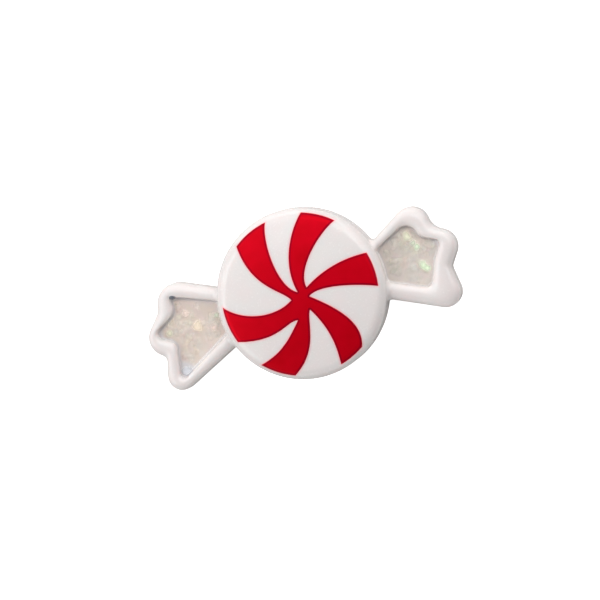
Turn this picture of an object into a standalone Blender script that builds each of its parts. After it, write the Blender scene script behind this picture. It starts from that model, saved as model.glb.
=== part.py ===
"""Peppermint candy charm: a cast, lacquered copy of a twist-wrapped sweet.

Metres, +Z up. The long way of the wrapper is +X and the flat back lies on Z = 0.
The pieces are the white casting (round sweet and two wrapper ends), the red swirl
let into its crown, and the clear resin that fills the pocket of each wrapper end.
Sizes below are in millimetres, measured from the middle of the round sweet.
"""
import math

import bmesh
import bpy
import numpy as np

MM = 0.001

# Round sweet
DISC_RADIUS = 9.95
DISC_HEIGHT = 5.2
CROWN_RADIUS = 8.6
CROWN_DROP = 0.65
CROWN_END_ANGLE = math.atan(2 * CROWN_DROP / CROWN_RADIUS)
EDGE_ROUND = DISC_RADIUS - CROWN_RADIUS
BASE_ROUND = 0.25
BASE_MIDWAY = BASE_ROUND * (1 - math.sqrt(0.5))
DISC_SEGMENTS = 96
CROWN_RINGS = 4
EDGE_STEPS = 6

# Wrapper ends
RIM_SHOULDER = 1.9
RIM_HEIGHT = 3.1
RIM_CREST_SHARE = 0.6
POCKET_WALL_TOP = 2.3
POCKET_FLOOR = 1.1
POCKET_DRAFT = 0.1
RIM_FILLET = 0.7
POCKET_FILLET = 0.9
DISC_BITE = 0.15
RIM_STEPS = 4
RIM_ROOT_X = 7.0
POCKET_ROOT_X = 8.0

# Resin and swirl
FIT_GAP = 0.15
RESIN_LEVEL = 2.45
SWIRL_THICKNESS = 0.35
SWIRL_CAVITY = SWIRL_THICKNESS + FIT_GAP
CUTTER_RISE = 0.3

# Each wrapper end is a scalloped outline: three lobes with two dips between them,
# from the +Y side to the -Y side, as (x, y, corner radius). The two long sides
# run from the outer lobes towards the aim points, where they meet the sweet.
RIM_CORNERS = {
    "right": [
        (16.25, 7.0, 2.1), (16.65, 2.55, 2.1), (19.85, 0.85, 2.05),
        (17.4, -2.45, 0.6), (18.0, -8.1, 1.8),
    ],
    "left": [
        (-16.15, 6.9, 2.45), (-17.15, 3.15, 1.2), (-20.3, -0.25, 2.2),
        (-17.8, -2.2, 0.8), (-19.55, -7.85, 1.7),
    ],
}
RIM_AIMS = {"right": ((8.0, 2.3), (8.0, -3.1)), "left": ((-8.0, 3.0), (-8.0, -2.75))}
POCKET_CORNERS = {
    "right": [
        (14.35, 4.3, 1.45), (15.1, 2.0, 1.4), (17.25, 0.85, 0.55),
        (15.9, -1.1, 1.5), (14.55, -4.15, 0.9),
    ],
    "left": [
        (-15.25, 4.55, 0.35), (-15.3, 2.45, 1.5), (-18.7, 0.65, 0.8),
        (-16.15, -0.95, 1.1), (-17.15, -5.65, 0.6),
    ],
}
POCKET_AIMS = {"right": ((8.0, 1.25), (8.0, -0.95)), "left": ((-8.0, 1.55), (-8.0, -0.75))}
LOBE_SEGMENTS = 7
DIP_SEGMENTS = 5
FILLET_SEGMENTS = 4
SIDE_SEGMENTS = 3
TIP_SEGMENTS = 2

# The swirl: six curved blades round a hub. A valley is the tip of the white wedge
# between two blades. A blade is given as its reach, the angles in degrees where its
# end starts and stops, and the two guide points of the curve on each of its sides:
# out from the valley before it, and out from the valley after it.
VALLEYS = [(-1.06, -0.25), (-0.06, 0.44), (1.19, 0.63), (1.19, -0.49), (0.71, -2.03), (-1.10, -2.73)]
BLADES = [
    (9.27, (125, 97), ((-1.8, 1.2), (-5.1, 2.4)), ((-2.1, 1.8), (-2.1, 7.3))),
    (9.50, (71, 46), ((-0.7, 3.6), (0.8, 6.8)), ((0.8, 2.8), (4.4, 6.0))),
    (9.20, (14, -12), ((3.6, 2.0), (6.2, 2.5)), ((2.8, 0.5), (7.6, -1.2))),
    (9.38, (-58, -78), ((3.3, -2.3), (6.3, -5.1)), ((2.0, -4.5), (2.3, -6.5))),
    (9.46, (-112, -138), ((-0.1, -3.3), (0.2, -6.8)), ((-3.2, -4.9), (-4.4, -5.8))),
    (9.24, (-161, -189), ((-2.5, -2.5), (-3.9, -4.5)), ((-3.1, -1.5), (-7.0, -1.1))),
]
BLADE_SIDE_STEPS = 10
BLADE_END_STEPS = 5

MERGE_DISTANCE = 0.001
SHARP_ANGLE = math.radians(35)
LONGEST_MITRE = 2.5

WHITE = (0.87, 0.86, 0.85)
RED = (0.62, 0.0, 0.02)
RESIN = (0.70, 0.66, 0.59)


def unit(vector):
    """Return the vector at length one."""
    return vector / np.linalg.norm(vector)


def corner_arc(before, corner, after, radius, segments):
    """Points of the arc that rounds a corner of a path, or the bare corner where the radius is zero."""
    if radius == 0:
        return [corner]
    back = unit(before - corner)
    ahead = unit(after - corner)
    half_angle = math.acos(np.clip(back @ ahead, -1, 1)) / 2
    centre = corner + unit(back + ahead) * radius / math.sin(half_angle)
    run = radius / math.tan(half_angle)
    start = corner + back * run - centre
    end = corner + ahead * run - centre
    sweep = math.atan2(start[0] * end[1] - start[1] * end[0], start @ end)
    angles = math.atan2(start[1], start[0]) + sweep * np.linspace(0, 1, segments + 1)
    return [centre + radius * np.array([math.cos(a), math.sin(a)]) for a in angles]


def meet_disc(lobe, aim, outwards, fillet):
    """Where a long side meets the sweet: the corner just inside its edge, and a point along that edge.

    The second point lies outwards from the X axis for a rim and towards it for a pocket,
    so that rounding the corner leaves a fillet against the sweet.
    """
    lobe = np.array(lobe[:2])
    aim = np.array(aim)
    radius = DISC_RADIUS - DISC_BITE
    run = aim - lobe
    a = run @ run
    b = lobe @ run
    c = lobe @ lobe - radius ** 2
    corner = lobe + run * (-b - math.sqrt(b * b - a * c)) / a
    along = unit(np.array([-corner[1], corner[0]]))
    if (along[1] * corner[1] > 0) != outwards:
        along = -along
    return corner, corner + along * (fillet + BASE_ROUND)


def wrapper_loop(corners, aims, outwards, fillet, root_x):
    """Closed outline of a rim or a pocket, with the same number of points for every wrapper end."""
    top, top_flare = meet_disc(corners[0], aims[0], outwards, fillet)
    bottom, bottom_flare = meet_disc(corners[-1], aims[1], outwards, fillet)
    side = math.copysign(root_x, aims[0][0])
    path = [(np.array([side, top_flare[1]]), 0, 0, 1), (top_flare, 0, 0, 1)]
    path.append((top, fillet, FILLET_SEGMENTS, SIDE_SEGMENTS))
    for index, (x, y, radius) in enumerate(corners):
        segments = DIP_SEGMENTS if index % 2 else LOBE_SEGMENTS
        gap = SIDE_SEGMENTS if index == len(corners) - 1 else TIP_SEGMENTS
        path.append((np.array([x, y]), radius, segments, gap))
    path.append((bottom, fillet, FILLET_SEGMENTS, 1))
    path += [(bottom_flare, 0, 0, 1), (np.array([side, bottom_flare[1]]), 0, 0, 1)]

    arcs = []
    for index, (point, radius, segments, _) in enumerate(path):
        before = path[index - 1][0]
        after = path[(index + 1) % len(path)][0]
        arcs.append(corner_arc(before, point, after, radius, segments))
    points = []
    for index, arc in enumerate(arcs):
        points += arc
        start = arc[-1]
        end = arcs[(index + 1) % len(arcs)][0]
        steps = path[index][3]
        points += [start + (end - start) * k / steps for k in range(1, steps)]
    return np.array(points)


def signed_area(loop):
    """Area inside a closed outline, positive when it runs counter-clockwise."""
    x, y = loop.T
    return 0.5 * float(np.sum(x * np.roll(y, -1) - y * np.roll(x, -1)))


def inset(loop, distance):
    """The outline moved inwards by a distance, with the mitres at its sharp corners kept short."""
    turn = math.copysign(1, signed_area(loop))
    edges = np.roll(loop, -1, axis=0) - loop
    normals = turn * np.column_stack([-edges[:, 1], edges[:, 0]])
    normals /= np.linalg.norm(normals, axis=1)[:, None]
    mitre = normals + np.roll(normals, 1, axis=0)
    mitre /= np.linalg.norm(mitre, axis=1)[:, None]
    spread = np.maximum(np.sum(mitre * normals, axis=1), 1 / LONGEST_MITRE)
    return loop + mitre * (distance / spread)[:, None]


def swirl_loop():
    """Closed outline of the whole swirl, blade after blade round the hub."""
    steps = np.linspace(0, 1, BLADE_SIDE_STEPS + 1)[:, None]
    points = []
    for index, (reach, end_angles, guides_before, guides_after) in enumerate(BLADES):
        angles = np.radians(np.linspace(*end_angles, BLADE_END_STEPS + 1))
        end = reach * np.column_stack([np.cos(angles), np.sin(angles)])
        before = cubic(VALLEYS[index], guides_before, end[0], steps)
        after = cubic(VALLEYS[(index + 1) % len(VALLEYS)], guides_after, end[-1], steps)
        points += [*before[:-1], *end, *after[-2:0:-1]]
    return np.array(points)


def cubic(start, guides, end, t):
    """Points of a cubic curve at the shares t of its way from start to end."""
    start, first, second, end = (np.array(point) for point in (start, *guides, end))
    near = (1 - t) ** 3 * start + 3 * t * (1 - t) ** 2 * first
    return near + 3 * t ** 2 * (1 - t) * second + t ** 3 * end


def crown_profile(lift=0.0):
    """The sweet's top from its middle to the start of the wall, as (radius, height), raised by a lift.

    The crown is a parabola, and a quarter of an ellipse carries its slope on, round to the wall.
    """
    radii = np.linspace(0, CROWN_RADIUS, CROWN_RINGS + 1)
    heights = DISC_HEIGHT - CROWN_DROP * (radii / CROWN_RADIUS) ** 2
    angles = np.linspace(CROWN_END_ANGLE, math.pi / 2, EDGE_STEPS + 1)[1:]
    outwards = (np.sin(angles) - math.sin(CROWN_END_ANGLE)) / (1 - math.sin(CROWN_END_ANGLE))
    downwards = 1 - np.cos(angles) / math.cos(CROWN_END_ANGLE)
    radii = np.append(radii, CROWN_RADIUS + EDGE_ROUND * outwards)
    heights = np.append(heights, heights[-1] - EDGE_ROUND * downwards)
    return [(float(r), float(z) + lift) for r, z in zip(radii, heights)]


def disc_profile():
    """Half section of the sweet from the middle of its crown to the middle of its back."""
    foot = [
        (DISC_RADIUS, BASE_ROUND),
        (DISC_RADIUS - BASE_MIDWAY, BASE_MIDWAY),
        (DISC_RADIUS - BASE_ROUND, 0),
    ]
    return crown_profile() + foot + [(0, 0)]


def shell_profile(top_lift, bottom_lift):
    """Half section of a layer that follows the crown between two lifts."""
    return crown_profile(top_lift) + crown_profile(bottom_lift)[::-1]


def rim_rings(rim, pocket):
    """Outlines and heights of a wrapper end, from its back's edge over the rim to the pocket's floor."""
    rings = [
        (inset(rim, BASE_ROUND), 0),
        (inset(rim, BASE_MIDWAY), BASE_MIDWAY),
        (rim, BASE_ROUND),
    ]
    crest = RIM_CREST_SHARE
    for angle in np.linspace(0, math.pi / 2, RIM_STEPS + 1):
        share = crest * (1 - math.cos(angle))
        height = RIM_SHOULDER + (RIM_HEIGHT - RIM_SHOULDER) * math.sin(angle)
        rings.append((rim + (pocket - rim) * share, height))
    for angle in np.linspace(0, math.pi / 2, RIM_STEPS + 1)[1:]:
        share = crest + (1 - crest) * math.sin(angle)
        height = POCKET_WALL_TOP + (RIM_HEIGHT - POCKET_WALL_TOP) * math.cos(angle)
        rings.append((rim + (pocket - rim) * share, height))
    rings.append((inset(pocket, POCKET_DRAFT), POCKET_FLOOR))
    return rings


def finish(bm, name, material):
    """Triangulate a built mesh, turn its faces outwards and make its object, smooth where it is round."""
    bmesh.ops.remove_doubles(bm, verts=bm.verts, dist=MERGE_DISTANCE * MM)
    bmesh.ops.triangulate(bm, faces=bm.faces)
    bmesh.ops.recalc_face_normals(bm, faces=bm.faces)
    mesh = bpy.data.meshes.new(name)
    bm.to_mesh(mesh)
    bm.free()
    mesh.shade_smooth()
    mesh.set_sharp_from_angle(angle=SHARP_ANGLE)
    if material:
        mesh.materials.append(material)
    piece = bpy.data.objects.new(name, mesh)
    bpy.context.scene.collection.objects.link(piece)
    return piece


def turned(profile, name, material=None):
    """Solid made by spinning a closed half section round the Z axis."""
    bm = bmesh.new()
    line = [bm.verts.new((r * MM, 0, z * MM)) for r, z in profile]
    edges = [bm.edges.new(pair) for pair in zip(line, line[1:])]
    bmesh.ops.spin(
        bm, geom=line + edges, axis=(0, 0, 1), cent=(0, 0, 0), angle=2 * math.pi, steps=DISC_SEGMENTS,
        use_merge=True,
    )
    return finish(bm, name, material)


def lofted(rings, name, material=None):
    """Solid skinned over stacked outlines of equal point counts, with a flat face at each end."""
    bm = bmesh.new()
    loops = [[bm.verts.new((x * MM, y * MM, z * MM)) for x, y in loop] for loop, z in rings]
    for lower, upper in zip(loops, loops[1:]):
        for k in range(len(lower)):
            bm.faces.new((lower[k - 1], lower[k], upper[k], upper[k - 1]))
    bm.faces.new(loops[0][::-1])
    bm.faces.new(loops[-1])
    return finish(bm, name, material)


def combine(piece, other, operation):
    """Join, cut or trim a piece with another shape, which is then only a guide."""
    modifier = piece.modifiers.new(f"{operation.lower()}_{other.name}", "BOOLEAN")
    modifier.operation = operation
    modifier.object = other
    modifier.solver = "EXACT"
    other.hide_render = True
    other.display_type = "WIRE"


def principled(name, colour, roughness):
    """A plain non-metal finish."""
    material = bpy.data.materials.new(name)
    material.use_nodes = True
    shader = material.node_tree.nodes["Principled BSDF"]
    shader.inputs["Base Color"].default_value = (*colour, 1)
    shader.inputs["Roughness"].default_value = roughness
    shader.inputs["Metallic"].default_value = 0
    return material


def build_swirl(red):
    """The red inlay, and the cutter of the cavity that holds it."""
    outline = swirl_loop()
    below = DISC_HEIGHT - CROWN_DROP - 2 * EDGE_ROUND
    above = DISC_HEIGHT + 2 * CUTTER_RISE
    swirl = lofted([(inset(outline, FIT_GAP), below), (inset(outline, FIT_GAP), above)], "swirl", red)
    combine(swirl, turned(shell_profile(0, -SWIRL_THICKNESS), "swirl_layer"), "INTERSECT")
    cavity = lofted([(outline, below), (outline, above)], "swirl_cavity")
    combine(cavity, turned(shell_profile(CUTTER_RISE, -SWIRL_CAVITY), "cavity_layer"), "INTERSECT")
    return cavity


def build_resin(side, pocket, clear, clearance):
    """The resin that fills one pocket up to its level, and stops at the sweet's wall."""
    outline = inset(pocket, FIT_GAP + POCKET_DRAFT)
    resin = lofted([(outline, POCKET_FLOOR + FIT_GAP), (outline, RESIN_LEVEL)], f"resin_{side}", clear)
    combine(resin, clearance, "DIFFERENCE")


def main():
    """Model the charm's four pieces, with the middle of its box over the origin."""
    for old in list(bpy.data.objects):
        bpy.data.objects.remove(old, do_unlink=True)
    white = principled("white_lacquer", WHITE, 0.25)
    red = principled("red_enamel", RED, 0.2)
    clear = principled("clear_resin", RESIN, 0.1)

    casting = turned(disc_profile(), "casting", white)
    clearance = turned(
        [(0, DISC_HEIGHT), (DISC_RADIUS + FIT_GAP, DISC_HEIGHT), (DISC_RADIUS + FIT_GAP, 0), (0, 0)],
        "resin_clearance",
    )
    span = []
    for side in ("left", "right"):
        rim = wrapper_loop(RIM_CORNERS[side], RIM_AIMS[side], True, RIM_FILLET, RIM_ROOT_X)
        pocket = wrapper_loop(POCKET_CORNERS[side], POCKET_AIMS[side], False, POCKET_FILLET, POCKET_ROOT_X)
        combine(casting, lofted(rim_rings(rim, pocket), f"wrapper_{side}"), "UNION")
        build_resin(side, pocket, clear, clearance)
        span += [rim[:, 0].min(), rim[:, 0].max()]
    combine(casting, build_swirl(red), "DIFFERENCE")

    middle = (min(span) + max(span)) / 2
    for piece in bpy.data.objects:
        piece.location.x = -middle * MM


main()
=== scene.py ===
"""Looks of the peppermint candy charm: a cast white sweet, a red swirl and two resin-filled wrapper ends.

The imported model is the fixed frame. Sizes are in millimetres from the middle of the round sweet, as the
part has them, and become metres of the frame when a mesh is made. A shape is a function of two
parameters, worked out as whole numpy arrays.
"""
from __future__ import annotations

import logging
import math
from abc import ABC, abstractmethod
from dataclasses import dataclass, field
from enum import Enum
from typing import Sequence

import bmesh
import bpy
import numpy as np
from mathutils import Matrix


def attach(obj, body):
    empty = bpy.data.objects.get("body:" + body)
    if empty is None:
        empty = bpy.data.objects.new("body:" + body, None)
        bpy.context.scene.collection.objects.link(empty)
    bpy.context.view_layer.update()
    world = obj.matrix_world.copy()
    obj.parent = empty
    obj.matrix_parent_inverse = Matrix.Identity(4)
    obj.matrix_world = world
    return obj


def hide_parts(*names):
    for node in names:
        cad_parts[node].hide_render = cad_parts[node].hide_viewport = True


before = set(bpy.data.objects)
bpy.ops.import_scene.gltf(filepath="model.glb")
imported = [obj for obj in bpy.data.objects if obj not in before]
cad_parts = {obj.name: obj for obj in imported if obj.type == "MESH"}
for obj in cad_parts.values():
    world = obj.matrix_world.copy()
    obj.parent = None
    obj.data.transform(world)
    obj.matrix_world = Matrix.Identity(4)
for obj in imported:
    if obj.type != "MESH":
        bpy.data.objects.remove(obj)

LOG = logging.getLogger("peppermint_charm")
MM = 0.001

Array = np.ndarray
Draws = np.random.Generator
Span = tuple[float, float]
Spot = tuple[float, float]
Triple = tuple[float, float, float]
Colour = Triple
Piece = bpy.types.Object
Material = bpy.types.Material
Node = bpy.types.Node
Socket = bpy.types.NodeSocket
Sockets = bpy.types.bpy_prop_collection
# What a node's input takes: a socket to link, or a plain value to set.
Feed = float | Sequence[float] | Socket
Inputs = dict[str | int, Feed]

# Counts, lengths in millimetres and an angle in degrees that several shapes share.
ARC_SAMPLES = 25
PACE_BLUR = 0.5
DISTANCE_BLOCK = 4000
TINY = 1e-12
MERGE = 1e-4
CRISP = 40.0

EDGE_ATTRIBUTE = "edge_reach"
MARGIN_ATTRIBUTE = "swirl_reach"
FLAKE_ATTRIBUTE = "flake_tint"
COVER_ATTRIBUTE = "glitter_cover"


class Side(Enum):
    """The two ends of the wrapper, by the sign of their X."""

    LEFT = "left"
    RIGHT = "right"


# ---- Plane and mesh helpers ----


def unit(vectors: Array) -> Array:
    """Vectors along the last axis at length one."""
    return vectors / np.linalg.norm(vectors, axis=-1, keepdims=True)


def headings(angles: Array) -> Array:
    """Vectors of length one at some angles, with x and y along the last axis."""
    return np.stack([np.cos(angles), np.sin(angles)], axis=-1)


def nearness(distance: Array, reach: float) -> Array:
    """Share that falls evenly from 1 at a distance of 0 to 0 at a reach, and stays there past it."""
    return np.clip(1 - distance / reach, 0, 1)


def with_height(plane: Array, height: Array | float) -> Array:
    """Points of the plane lifted to a height, as x, y and z."""
    return np.concatenate([plane, np.broadcast_to(height, plane.shape[:-1])[..., None]], axis=-1)


def rounded_loop(corners: Array, samples: int) -> Array:
    """Round every corner of a closed polygon with an arc.

    An arc touches the two sides of its corner at radius over the tangent of half the corner's angle, and
    its middle lies on the bisector at radius over the sine of that half. All arcs are one array.

    Args:
        corners: x, y and radius of each corner, as rows.
        samples: points on each arc, an odd number, so that one is the arc's middle.

    Returns:
        Points of the arcs, as an array of corners by samples by two.
    """
    spot, radius = corners[:, :2], corners[:, 2]
    back = unit(np.roll(spot, 1, axis=0) - spot)
    ahead = unit(np.roll(spot, -1, axis=0) - spot)
    half = np.arccos(np.clip((back * ahead).sum(axis=1), -1, 1)) / 2
    centre = spot + unit(back + ahead) * (radius / np.sin(half))[:, None]
    run = (radius / np.tan(half))[:, None]
    start = spot + back * run - centre
    end = spot + ahead * run - centre
    sweep = np.arctan2(start[:, 0] * end[:, 1] - start[:, 1] * end[:, 0], (start * end).sum(axis=1))
    angle = np.arctan2(start[:, 1], start[:, 0])[:, None] + sweep[:, None] * np.linspace(0, 1, samples)
    return centre[:, None] + radius[:, None, None] * headings(angle)


def soften(values: Array, spacing: float, width: float) -> Array:
    """Blur values round a closed loop with a bell curve, by fading the waves shorter than its width.

    Args:
        values: one row for each point of the loop, evenly spaced.
        spacing: distance between points.
        width: standard deviation of the bell curve, in the same unit.

    Returns:
        The blurred values.
    """
    waves = np.fft.rfftfreq(len(values), d=spacing)
    fade = np.exp(-2 * (math.pi * width * waves) ** 2)
    return np.fft.irfft(np.fft.rfft(values, axis=0) * fade[:, None], len(values), axis=0)


def loop_lengths(loop: Array) -> Array:
    """Distance along a closed loop to each of its points, and round to the first again."""
    steps = np.linalg.norm(np.roll(loop, -1, axis=0) - loop, axis=1)
    return np.concatenate([[0.0], np.cumsum(steps)])


def matched_loops(outer: Array, inner: Array, count: int, softness: float) -> tuple[Array, Array]:
    """Two rounded outlines with their corners across from each other.

    The middles of the corner arcs are the stations. Between stations both outlines are walked evenly, and
    the pace is then blurred, so that the lines from one outline to the other fan out smoothly.

    Args:
        outer: corners of the outer outline, as x, y and radius.
        inner: corners of the inner outline, as many and in the same order.
        count: points wanted on each outline.
        softness: width of the blur that rounds off the outlines, in millimetres.

    Returns:
        The points of the outer and of the inner outline.
    """
    loops = [rounded_loop(corners, ARC_SAMPLES).reshape(-1, 2) for corners in (outer, inner)]
    lengths = [loop_lengths(loop) for loop in loops]
    middles = np.arange(len(outer)) * ARC_SAMPLES + ARC_SAMPLES // 2
    stations = [np.append(length[middles], length[middles[0]] + length[-1]) for length in lengths]
    pace = (stations[0] + stations[1]) / 2
    walk = pace[0] + (pace[-1] - pace[0]) * np.arange(count) / count
    spacing = (pace[-1] - pace[0]) / count
    matched = []
    for loop, length, station in zip(loops, lengths, stations):
        along = np.interp(walk, pace, station)
        drift = along - walk * (length[-1] / (pace[-1] - pace[0]))
        along += (soften(drift[:, None], spacing, PACE_BLUR) - drift[:, None])[:, 0]
        along %= length[-1]
        closed = np.vstack([loop, loop[:1]])
        points = np.column_stack([np.interp(along, length, column) for column in closed.T])
        matched.append(soften(points, spacing, softness))
    return matched[0], matched[1]


def nearest_on_loop(points: Array, loop: Array) -> tuple[Array, Array]:
    """Shortest way from points to a closed outline, in the plane.

    Args:
        points: any array of x and y along its last axis.
        loop: points of the outline.

    Returns:
        Distances, and the number of the outline's step that is nearest, both in the shape of the points.
    """
    flat = points.reshape(-1, 2)
    run = np.roll(loop, -1, axis=0) - loop
    span = np.maximum((run**2).sum(axis=1), TINY)
    found = []
    for block in np.array_split(flat, max(1, len(flat) // DISTANCE_BLOCK)):
        offset = block[:, None] - loop
        share = np.clip((offset * run).sum(axis=-1) / span, 0, 1)
        distance = np.linalg.norm(offset - share[..., None] * run, axis=-1)
        found.append((distance.min(axis=1), distance.argmin(axis=1)))
    distances, steps = (np.concatenate(part).reshape(points.shape[:-1]) for part in zip(*found))
    return distances, steps


def distance_to_loop(points: Array, loop: Array) -> Array:
    """Shortest distance from points to a closed outline, in the plane and in the points' shape."""
    return nearest_on_loop(points, loop)[0]


def depth_in_loop(points: Array, loop: Array) -> Array:
    """Distance from points to a closed outline, in the plane, negative inside it.

    A point is inside where a line from it towards +X crosses the outline an odd number of times.

    Args:
        points: rows of x and y.
        loop: points of the outline.

    Returns:
        One distance for each point.
    """
    ahead = np.roll(loop, -1, axis=0)
    rise = np.where(ahead[:, 1] == loop[:, 1], TINY, ahead[:, 1] - loop[:, 1])
    crossings = []
    for block in np.array_split(points, max(1, len(points) // DISTANCE_BLOCK)):
        x, y = block[:, :1], block[:, 1:]
        passed = (loop[:, 1] > y) != (ahead[:, 1] > y)
        crossing = loop[:, 0] + (ahead[:, 0] - loop[:, 0]) * (y - loop[:, 1]) / rise
        crossings.append((passed & (x < crossing)).sum(axis=1))
    return (1 - 2 * (np.concatenate(crossings) % 2)) * distance_to_loop(points, loop)


@dataclass
class Skin:
    """Grids of points and the faces between them, gathered into one mesh."""

    points: list[Array] = field(default_factory=list)
    faces: list[list[int]] = field(default_factory=list)
    total: int = 0

    def add(self, points: Array) -> Array:
        """Keep a grid of points.

        Args:
            points: x, y and z along the last axis.

        Returns:
            The points' numbers, in the shape of the grid.
        """
        flat = points.reshape(-1, 3)
        numbers = self.total + np.arange(len(flat)).reshape(points.shape[:-1])
        self.points.append(flat)
        self.total += len(flat)
        return numbers

    def quads(self, numbers: Array, closed: bool) -> None:
        """Span a grid of numbered points with quads.

        Args:
            numbers: point numbers, as rows by columns.
            closed: whether the last column meets the first again.
        """
        ahead = np.roll(numbers, -1, axis=1)
        corners = np.stack([numbers[:-1], ahead[:-1], ahead[1:], numbers[1:]], axis=-1)
        self.faces += corners[:, : None if closed else -1].reshape(-1, 4).tolist()

    def fan(self, ring: Array, pole: Sequence[float]) -> None:
        """Close a ring with triangles to a pole.

        Args:
            ring: numbers of the ring's points.
            pole: x, y and z of the pole.
        """
        number = self.add(np.array([pole]))
        spokes = np.column_stack([ring, np.roll(ring, -1), np.repeat(number, len(ring))])
        self.faces += spokes.tolist()

    def cap(self, ring: Array) -> None:
        """Close a flat ring of numbered points with one face."""
        self.faces.append(ring.tolist())

    def piece(self, name: str, material: Material | None) -> Piece:
        """Make the object, its doubles merged and its faces turned outwards.

        Args:
            name: name of the object.
            material: finish of the piece, or none for a shape that is only joined to another.

        Returns:
            The new object, at the origin of the frame.
        """
        mesh = bpy.data.meshes.new(name)
        place = np.vstack(self.points) * MM + SWEET_CENTRE * MM
        mesh.from_pydata(place.tolist(), [], self.faces)
        form = bmesh.new()
        form.from_mesh(mesh)
        bmesh.ops.remove_doubles(form, verts=form.verts, dist=MERGE * MM)
        bmesh.ops.recalc_face_normals(form, faces=form.faces)
        form.to_mesh(mesh)
        form.free()
        shade(mesh)
        if material:
            mesh.materials.append(material)
        piece = bpy.data.objects.new(name, mesh)
        bpy.context.scene.collection.objects.link(piece)
        return piece


def shade(mesh: bpy.types.Mesh) -> None:
    """Shade a mesh smooth, apart from its crisp edges."""
    mesh.shade_smooth()
    mesh.set_sharp_from_angle(angle=math.radians(CRISP))


def places_of(piece: Piece) -> Array:
    """Read where the points of a piece are.

    Args:
        piece: the piece.

    Returns:
        x, y and z of each point, in millimetres from the middle of the sweet.
    """
    place = np.empty(len(piece.data.vertices) * 3, dtype=np.float32)
    piece.data.vertices.foreach_get("co", place)
    return place.reshape(-1, 3) / MM - SWEET_CENTRE


def store(piece: Piece, name: str, values: Array) -> None:
    """Keep one value for each point of a piece as an attribute."""
    attribute = piece.data.attributes.new(name, "FLOAT", "POINT")
    attribute.data.foreach_set("value", values.astype(np.float32))


def store_tints(piece: Piece, tints: Array, cover: Array) -> None:
    """Keep a colour and a share of cover for each point of a piece as one attribute."""
    attribute = piece.data.attributes.new(FLAKE_ATTRIBUTE, "FLOAT_COLOR", "POINT")
    attribute.data.foreach_set("color", np.column_stack([tints, cover]).astype(np.float32).ravel())


def fuse(piece: Piece, other: Piece) -> None:
    """Join another closed shape to a piece for good, and drop the other.

    Args:
        piece: the piece.
        other: the shape that it takes in.
    """
    modifier = piece.modifiers.new("fuse", "BOOLEAN")
    modifier.operation = "UNION"
    modifier.solver = "EXACT"
    modifier.object = other
    bpy.context.view_layer.update()
    graph = bpy.context.evaluated_depsgraph_get()
    mesh = bpy.data.meshes.new_from_object(piece.evaluated_get(graph))
    piece.modifiers.clear()
    piece.data = mesh
    bpy.data.objects.remove(other)


def mounted(piece: Piece, node: str | None = None) -> Piece:
    """Fix a piece to the one body of the frame.

    Args:
        piece: the piece.
        node: the node of the frame that it stands for, if there is one.

    Returns:
        The piece.
    """
    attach(piece, "root")
    if node:
        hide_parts(node)
    return piece


# ---- Finishes ----


@dataclass
class Wiring:
    """A node tree with short ways to add, set and link nodes."""

    tree: bpy.types.NodeTree

    def feed(self, node: Node, inputs: Inputs) -> Node:
        """Link a node's inputs to sockets, or set them where a plain value is given.

        Args:
            node: the node.
            inputs: socket or value for each input, by its name or number. A colour has no alpha.

        Returns:
            The node.
        """
        for name, source in inputs.items():
            target = node.inputs[name]
            if isinstance(source, Socket):
                self.tree.links.new(source, target)
            else:
                target.default_value = (*source, 1) if target.type == "RGBA" else source
        return node

    def node(self, kind: str, inputs: Inputs | None = None, **settings: object) -> Node:
        """Add a node.

        Args:
            kind: type of the node.
            inputs: sockets and values for its inputs.
            settings: its properties.

        Returns:
            The node.
        """
        made = self.tree.nodes.new(kind)
        for name, value in settings.items():
            setattr(made, name, value)
        return self.feed(made, inputs or {})

    def ramp(self, source: Socket, places: Sequence[float], colours: Sequence[Colour]) -> Socket:
        """Turn a factor into a colour.

        Args:
            source: the factor's socket.
            places: places of the stops, from low to high.
            colours: their colours.

        Returns:
            The colour's socket.
        """
        made = self.node("ShaderNodeValToRGB", {"Fac": source})
        elements = made.color_ramp.elements
        for index, (place, colour) in enumerate(zip(places, colours)):
            stop = elements[index] if index < len(elements) else elements.new(place)
            stop.position = place
            stop.color = (*colour, 1)
        return made.outputs["Color"]

    def mix(self, factor: Socket, first: Feed, second: Feed) -> Socket:
        """Blend two colours by a factor and return the blend's socket."""
        inputs = {"Factor": factor, "A": first, "B": second}
        return self.node("ShaderNodeMix", inputs, data_type="RGBA").outputs["Result"]

    def stretch(self, source: Socket, before: Span = (0.0, 1.0), after: Span = (0.0, 1.0)) -> Socket:
        """Stretch one range of a value to another, and hold it past the ends.

        Args:
            source: the value's socket.
            before: start and end of its own range.
            after: what these become.

        Returns:
            The stretched value's socket.
        """
        ends = dict(zip(("From Min", "From Max", "To Min", "To Max"), (*before, *after)))
        return self.node("ShaderNodeMapRange", {"Value": source, **ends}).outputs["Result"]

    def attribute(self, name: str) -> Socket:
        """Read one of the values that the piece's points hold."""
        return self.node("ShaderNodeAttribute", attribute_name=name).outputs["Fac"]

    def ray(self, kind: str) -> Socket:
        """Tell whether the ray is of a kind, such as Is Camera Ray."""
        return self.node("ShaderNodeLightPath").outputs[kind]

    def place(self) -> Socket:
        """Read the place on the piece."""
        return self.node("ShaderNodeTexCoord").outputs["Object"]


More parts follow.
